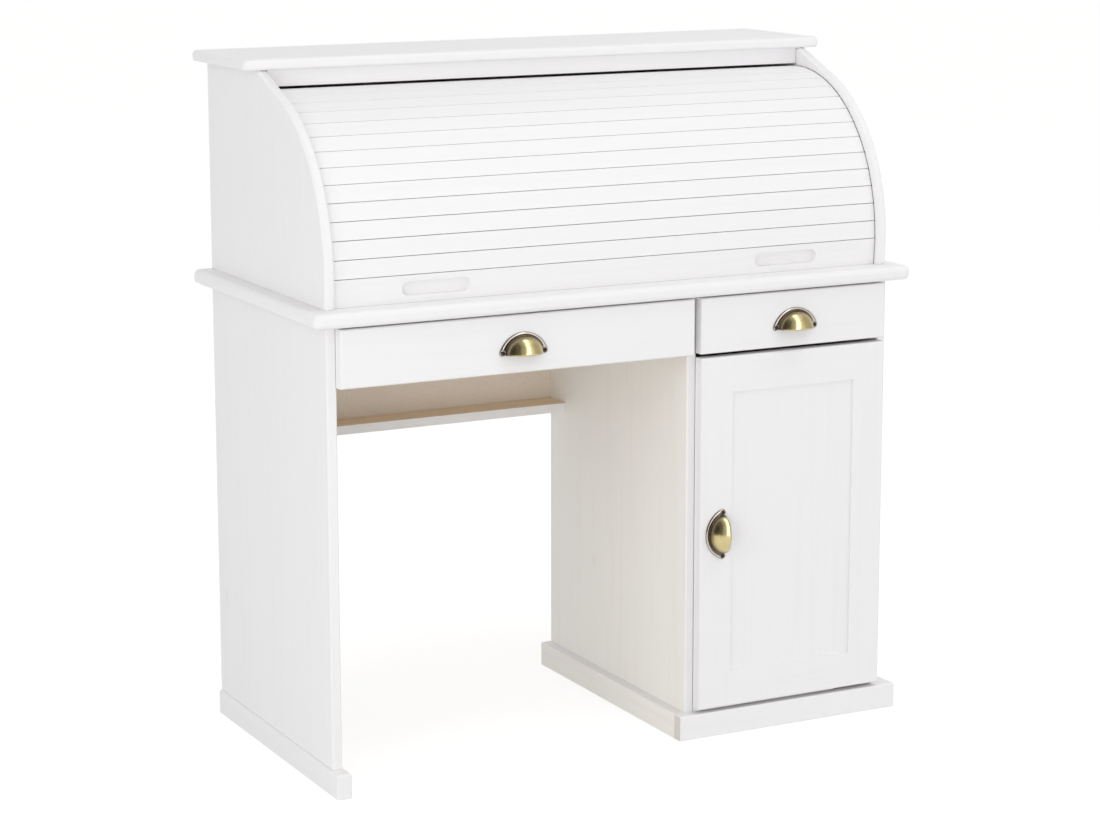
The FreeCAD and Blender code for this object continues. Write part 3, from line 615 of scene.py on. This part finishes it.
def flange_outline(sizes):
    """Edge of a pull's flange from the right end to the left: round ends that run into one arc."""
    reach = sizes.screw_spacing / 2
    lug_top = sizes.height - sizes.lug_radius
    drop = (reach ** 2 + sizes.lug_rise ** 2 - lug_top ** 2) / (2 * (lug_top - sizes.lug_rise))
    meeting = math.atan2(sizes.lug_rise + drop, reach)
    radius = sizes.height + drop
    end_length = sizes.lug_radius * (meeting + math.pi / 2)
    arc_length = radius * (math.pi / 2 - meeting)
    spots = []
    for index in range(sizes.turns + 1):
        from_top = 2 * abs(index / sizes.turns - 0.5)
        along = (1 - from_top) * (end_length + arc_length)
        if along < end_length:
            angle = -math.pi / 2 + along / sizes.lug_radius
            x = reach + sizes.lug_radius * math.cos(angle)
            z = sizes.lug_rise + sizes.lug_radius * math.sin(angle)
        else:
            angle = meeting + (along - end_length) / radius
            x, z = radius * math.cos(angle), radius * math.sin(angle) - drop
        spots.append(Vector((x if index <= sizes.turns / 2 else -x, z)))
    return spots


def dome_faces(work, sizes, arch):
    """Dome of a pull: a quarter of an ellipsoid with its ends at the mouth's corners, outside and
    inside, and the lip between the two skins."""
    for inset, flip in ((0.0, False), (sizes.wall, True)):
        rows = []
        for band in range(DOME_BANDS + 1):
            rise = math.pi / 2 * band / DOME_BANDS
            row = []
            for angle in arch:
                across = (sizes.dome_radius - inset) * math.cos(angle)
                reach = math.sin(angle)
                row.append((across, -(sizes.depth - inset) * reach * math.cos(rise),
                            (sizes.dome_height - inset) * reach * math.sin(rise)))
            rows.append(row)
        if flip:
            rows.reverse()
        grid_faces(work, rows)
    lip = []
    for inset in (0.0, sizes.wall):
        lip.append([((sizes.dome_radius - inset) * math.cos(angle),
                     -(sizes.depth - inset) * math.sin(angle), 0.0) for angle in arch])
    grid_faces(work, lip)


def flange_faces(work, sizes, arch):
    """Flange of a pull, with a valley beside the dome, a rolled rim and room for the seats."""
    outline = flange_outline(sizes)
    rows = []
    for share, height in FLANGE_PROFILE:
        row = []
        for angle, outer in zip(arch, outline):
            inner = Vector((sizes.dome_radius * math.cos(angle),
                            sizes.dome_height * math.sin(angle)))
            spot = inner.lerp(outer, share)
            from_screw = Vector((abs(spot.x) - sizes.screw_spacing / 2, spot.y - sizes.lug_rise))
            in_seat = from_screw.length < sizes.seat_radius
            lift = min(height, SEAT_FLOOR_MM) if in_seat else height
            row.append((spot.x, -lift * MM, spot.y))
        rows.append(row)
    grid_faces(work, rows)


def round_faces(work, sizes, radius, profile, slot_depth=0.0):
    """Round forms about both screws that follow a profile, with a cross slot of some depth."""
    for side in (-1, 1):
        rows = []
        for share, height in profile:
            row = []
            for index in range(ROUND_STEPS):
                angle = 2 * math.pi * index / ROUND_STEPS
                from_slot = min(abs(math.sin(angle)), abs(math.cos(angle))) * share
                in_slot = from_slot < SLOT_HALF_WIDTH and share < SLOT_REACH
                row.append((side * sizes.screw_spacing / 2 + share * radius * math.cos(angle),
                            -(height - (slot_depth if in_slot else 0.0)) * MM,
                            sizes.lug_rise + share * radius * math.sin(angle)))
            rows.append(row)
        grid_faces(work, rows, closed=True)


def mark_patina(mesh, sizes):
    """Writes on a pull's points how dark they are, and which of them are on the flange: patina in the
    flange's valley and on its rim, and on the dome painted shade, partly patina, darkest where the
    dome rises from the board.
    """
    dark = []
    on_flange = []
    for vertex in mesh.vertices:
        x, y, z = vertex.co
        from_middle = (x / sizes.dome_radius) ** 2 + (z / sizes.dome_height) ** 2
        if from_middle > DOME_EDGE and -y < FLANGE_TOP_MM * MM:
            dark.append(VALLEY_DARK if -y < VALLEY_TOP_MM * MM else RIM_DARK)
            on_flange.append(1.0)
        else:
            # painted shade, partly patina: the dome darkens towards the board close to its foot
            foot_shade = max(0.0, 1 + y / (DOME_FOOT_SHADE_MM * MM))
            dark.append(min(DOME_FOOT_SHADE_MOST, DOME_FOOT_SHADE_GAIN * foot_shade))
            on_flange.append(0.0)
    for name, values in (("patina", dark), ("flange", on_flange)):
        mesh.attributes.new(name, "FLOAT", "POINT").data.foreach_set("value", values)


def pull_mesh(sizes):
    """Cup pull in its own frame: mouth along X at height zero, back at Y zero, dome towards -Y."""
    work = bmesh.new()
    arch = [math.pi * index / sizes.turns for index in range(sizes.turns + 1)]
    dome_faces(work, sizes, arch)
    flange_faces(work, sizes, arch)
    round_faces(work, sizes, sizes.seat_radius, SEAT_PROFILE)
    mesh = cast_mesh("cup_pull", work)
    mark_patina(mesh, sizes)
    return mesh


def screw_mesh(sizes):
    """Two round screw heads with a cross slot, in the pull's own frame."""
    work = bmesh.new()
    round_faces(work, sizes, sizes.screw_radius, HEAD_PROFILE, SLOT_DEPTH_MM)
    return cast_mesh("pull_screws", work)


def bar_section(node):
    """A slat seen along X: its middle, the way up the track, and half its width and thickness."""
    spots = numpy.array([(vertex.co.y, vertex.co.z)
                         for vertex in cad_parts[node].data.vertices])
    middle = (spots.min(0) + spots.max(0)) / 2
    along = numpy.linalg.svd(spots - spots.mean(0))[2][0]
    along *= 1 if along[1] > 0 else -1
    across = numpy.array((-along[1], along[0]))
    sides = [(spots - middle) @ way for way in (along, across)]
    middle = middle + along * (sides[0].min() + sides[0].max()) / 2
    middle = middle + across * (sides[1].min() + sides[1].max()) / 2
    half_width, half_thickness = [(side.max() - side.min()) / 2 for side in sides]
    return Vector((0, *middle)), Vector((0, *along)), half_width, half_thickness


def rim_points(layer):
    """Points round the edge of a grid, in order."""
    right = [row[-1] for row in layer[1:-1]]
    left = [row[0] for row in layer[-2:0:-1]]
    return layer[0] + right + layer[-1][::-1] + left


def strip_mesh(first, width, thickness, x_low, x_high):
    """Thin flat strip along X, with its flat measures as a UV map."""
    work = bmesh.new()
    layers = []
    for offset in (Vector(), thickness):
        points = []
        for row in range(STRIP_ROWS + 1):
            spot = first + width * (row / STRIP_ROWS) + offset
            points.append([(x_low + (x_high - x_low) * column / STRIP_COLUMNS, spot.y, spot.z)
                           for column in range(STRIP_COLUMNS + 1)])
        layers.append(grid_faces(work, points))
    inner, outer = [rim_points(layer) for layer in layers]
    for index in range(len(inner)):
        after = (index + 1) % len(inner)
        work.faces.new((inner[index], inner[after], outer[after], outer[index]))
    bmesh.ops.recalc_face_normals(work, faces=work.faces)
    flat = work.loops.layers.uv.new("flat")
    up = width.normalized()
    for face in work.faces:
        for loop in face.loops:
            loop[flat].uv = (loop.vert.co.x, (loop.vert.co - first).dot(up))
    return new_mesh("canvas_strip", work)


class FinishBoards(bpy.types.Operator):
    """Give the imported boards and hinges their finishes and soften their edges"""
    bl_idname = "roll_top_desk.finish_boards"
    bl_label = "Finish Boards"

    def execute(self, context):
        look = context.scene.desk_finishes
        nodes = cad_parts
        shading = smooth_faces()
        for axis, names in enumerate(GLAZED_BOARDS):
            give(glazed_pine(axis), *[nodes[name] for name in names])
        for axis, names in enumerate(BARE_BOARDS):
            give(bare_pine(axis), *[nodes[name] for name in names])
        give(slat_pine(), *[nodes[name] for name in SLATS])
        # the faces of these boards that point into the knee hole get painted warm bounce light
        give(knee_pine_painted_bounce(1), nodes["plinth_left_board"])
        give(knee_pine_painted_bounce(2), nodes["pedestal_left_panel"])
        give(sawn_pine(), nodes["plinth_front_board"])
        give(ledge_pine(), nodes["knee_stretcher"])
        give(hardboard(), *[nodes[name] for name in HARDBOARDS])
        nickel = plated_metal("nickel_plated_steel", look.steel, roughness=0.3)
        give(nickel, *[nodes[name] for name in STEEL_NODES])
        for name, thing in nodes.items():
            soften(thing, look.fine_round if name in FINE_EDGED else look.edge_round, shading)
        return {"FINISHED"}


class MakePulls(bpy.types.Operator):
    """Make the cup pulls and their screws"""
    bl_idname = "roll_top_desk.make_pulls"
    bl_label = "Make Pulls"

    def execute(self, context):
        sizes = context.scene.desk_pulls
        look = context.scene.desk_finishes
        brass = aged_brass()
        dark = plated_metal("blackened_steel", look.screw, roughness=0.38)
        drop = sizes.lug_radius - sizes.lug_rise
        for pull_node, screw_node, body, quarter_turns in PULLS:
            low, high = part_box(pull_node)
            turn = Matrix.Rotation(quarter_turns * math.pi / 2, 4, "Y")
            middle = (low + high) / 2
            if quarter_turns:
                spot = Vector((high.x - drop, high.y, middle.z))
            else:
                spot = Vector((middle.x, high.y, low.z + drop))
            for node, mesh, material, slot in (
                    (pull_node, pull_mesh(sizes), brass, "aged_brass"),
                    (screw_node, screw_mesh(sizes), dark, "dark_screw")):
                mesh.transform(Matrix.Translation(spot) @ turn)
                piece = new_piece(node.replace("_pull", "_cup_pull"), mesh)
                give(material, piece)
                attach(piece, body)
                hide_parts(node)
        return {"FINISHED"}


class MakeCanvas(bpy.types.Operator):
    """Make the strips of canvas behind the tambour's slats"""
    bl_idname = "roll_top_desk.make_canvas"
    bl_label = "Make Canvas"

    def execute(self, context):
        cloth = woven_canvas()
        sizes = context.scene.desk_canvas
        low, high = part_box("tambour_canvas")
        middles = [bar_section(name)[0] for name in SLATS]
        roll_middle = sum(middles, Vector()) / len(middles)
        for name in SLATS:
            middle, along, half_width, half_thickness = bar_section(name)
            inward = along.cross(Vector((1, 0, 0)))
            if inward.dot(roll_middle - middle) < 0:
                inward.negate()
            half_width += sizes.bridge
            depth = half_thickness + sizes.glue_gap
            first = middle - along * half_width + inward * depth
            mesh = strip_mesh(first, along * 2 * half_width, inward * sizes.thickness,
                              low.x, high.x)
            strip = new_piece(name.replace("tambour_slat", "canvas_strip"), mesh)
            give(cloth, strip)
            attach(strip, name.replace("tambour_", ""))
            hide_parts("tambour_canvas")
        return {"FINISHED"}


def show_background(tree):
    """1 for rays that should meet the white background: those from the camera, off gloss and
    through glass."""
    rays = add_node(tree, "ShaderNodeLightPath").outputs
    seen = arithmetic(tree, "MAXIMUM", rays["Is Camera Ray"], rays["Is Glossy Ray"])
    return arithmetic(tree, "MAXIMUM", seen, rays["Is Transmission Ray"])


def studio_floor(stage):
    """Matt studio floor that shows white and keeps the desk's shadow."""
    material, tree = new_material("studio_floor")
    shown = show_background(tree)
    dimmed = [FLOOR_SHOWN * channel for channel in stage.floor]
    lit = add_node(tree, "ShaderNodeBsdfDiffuse", {"Color": rgba(stage.floor)})
    dim = add_node(tree, "ShaderNodeBsdfDiffuse", {"Color": rgba(dimmed)})
    glow = add_node(tree, "ShaderNodeEmission", {"Color": WHITE, "Strength": stage.floor_glow})
    white = add_node(tree, "ShaderNodeAddShader", {0: dim.outputs[0], 1: glow.outputs[0]})
    both = add_node(tree, "ShaderNodeMixShader", {0: shown, 1: lit.outputs[0], 2: white.outputs[0]})
    add_node(tree, "ShaderNodeOutputMaterial", {"Surface": both.outputs[0]})
    return material


def even_sheet(name, glow):
    """Glowing sheet of the studio, no lamp, of an even brightness, seen only in gloss as a painted
    reflection.
    """
    material, tree = new_material(name)
    light = add_node(tree, "ShaderNodeEmission", {"Color": WHITE, "Strength": glow})
    add_node(tree, "ShaderNodeOutputMaterial", {"Surface": light.outputs[0]})
    return material


def sheet_mesh(name, corners):
    """Mesh of one flat face."""
    work = bmesh.new()
    work.faces.new([work.verts.new(corner) for corner in corners])
    return new_mesh(name, work)


def add_lamp(name, place, target, width, height, power):
    """Large soft lamp that points at a target and isn't mirrored."""
    lamp = bpy.data.lights.new(name, "AREA")
    lamp.shape = "RECTANGLE"
    lamp.size, lamp.size_y, lamp.energy = width, height, power
    thing = bpy.data.objects.new(name, lamp)
    thing.visible_glossy = False
    bpy.context.scene.collection.objects.link(thing)
    thing.location = place
    way = Vector(target) - Vector(place)
    thing.rotation_euler = way.to_track_quat("-Z", "Y").to_euler()


def set_world(scene):
    """World that lights the desk evenly and shows as a white background."""
    world = bpy.data.worlds.new("studio")
    scene.world = world
    world.use_nodes = True
    tree = world.node_tree
    tree.nodes.clear()
    strength = span(tree, show_background(tree), (0.0, 1.0), (scene.desk_stage.ambient, 1.0))
    light = add_node(tree, "ShaderNodeBackground", {"Color": WHITE, "Strength": strength})
    add_node(tree, "ShaderNodeOutputWorld", {"Surface": light.outputs[0]})


def add_camera(scene):
    """Camera that takes the photograph's view."""
    stage = scene.desk_stage
    eye = bpy.data.cameras.new("photo_camera")
    eye.sensor_width = SENSOR_WIDTH
    eye.lens = stage.focal_pixels / PHOTO_WIDTH * SENSOR_WIDTH
    eye.shift_y = stage.shift
    eye.clip_end = VIEW_RANGE
    camera = bpy.data.objects.new("photo_camera", eye)
    scene.collection.objects.link(camera)
    turn = Matrix.Rotation(-stage.yaw, 4, "Z")
    turn = turn @ Matrix.Rotation(math.pi / 2 - stage.pitch, 4, "X")
    turn = turn @ Matrix.Rotation(stage.roll, 4, "Z")
    camera.matrix_world = Matrix.Translation(stage.eye) @ turn
    scene.camera = camera


class SetStage(bpy.types.Operator):
    """Set the floor, the lamps, the world and the camera"""
    bl_idname = "roll_top_desk.set_stage"
    bl_label = "Set Stage"

    def execute(self, context):
        scene = context.scene
        stage = scene.desk_stage
        scene.view_settings.view_transform = "Standard"
        set_world(scene)
        half = stage.floor_size / 2
        corners = ((-half, -half, 0), (half, -half, 0), (half, half, 0), (-half, half, 0))
        floor = new_piece("studio_floor", sheet_mesh("studio_floor", corners))
        floor.location.z = -FLOOR_DROP_MM * MM
        give(studio_floor(stage), floor)
        for name, lamp in LAMPS.items():
            add_lamp(name + "_lamp", *lamp, getattr(stage, name + "_power"))
        # glowing sheets seen only in gloss: painted reflections, no lamps
        for name, (glow, corners) in MIRRORED.items():
            sheet = new_piece(name, sheet_mesh(name, corners))
            give(even_sheet(name, glow), sheet)
            sheet.visible_camera = sheet.visible_diffuse = sheet.visible_shadow = False
            sheet.visible_transmission = sheet.visible_volume_scatter = False
        add_camera(scene)
        return {"FINISHED"}


SETTINGS = {"desk_finishes": DeskFinishes, "desk_pulls": DeskPulls, "desk_canvas": DeskCanvas,
            "desk_stage": DeskStage}
STEPS = (FinishBoards, MakePulls, MakeCanvas, SetStage)


class DeskPanel(bpy.types.Panel):
    """Lists the steps that dress the desk, and their settings"""
    bl_idname = "VIEW3D_PT_roll_top_desk"
    bl_label = "Roll Top Desk"
    bl_space_type = "VIEW_3D"
    bl_region_type = "UI"
    bl_category = "Desk"

    def draw(self, context):
        for step in STEPS:
            self.layout.operator(step.bl_idname)
        for settings in SETTINGS:
            group = getattr(context.scene, settings)
            for name in group.__annotations__:
                self.layout.prop(group, name)


def register():
    """Registers the settings, the steps and the panel."""
    for name, group in SETTINGS.items():
        bpy.utils.register_class(group)
        setattr(bpy.types.Scene, name, PointerProperty(type=group))
    for step in STEPS:
        bpy.utils.register_class(step)
    bpy.utils.register_class(DeskPanel)


def unregister():
    """Takes them away again."""
    bpy.utils.unregister_class(DeskPanel)
    for step in reversed(STEPS):
        bpy.utils.unregister_class(step)
    for name, group in SETTINGS.items():
        delattr(bpy.types.Scene, name)
        bpy.utils.unregister_class(group)


def main():
    """Dresses the desk step by step."""
    register()
    bpy.ops.roll_top_desk.finish_boards()
    bpy.ops.roll_top_desk.make_pulls()
    bpy.ops.roll_top_desk.make_canvas()
    bpy.ops.roll_top_desk.set_stage()


if __name__ == "__main__":
    main()
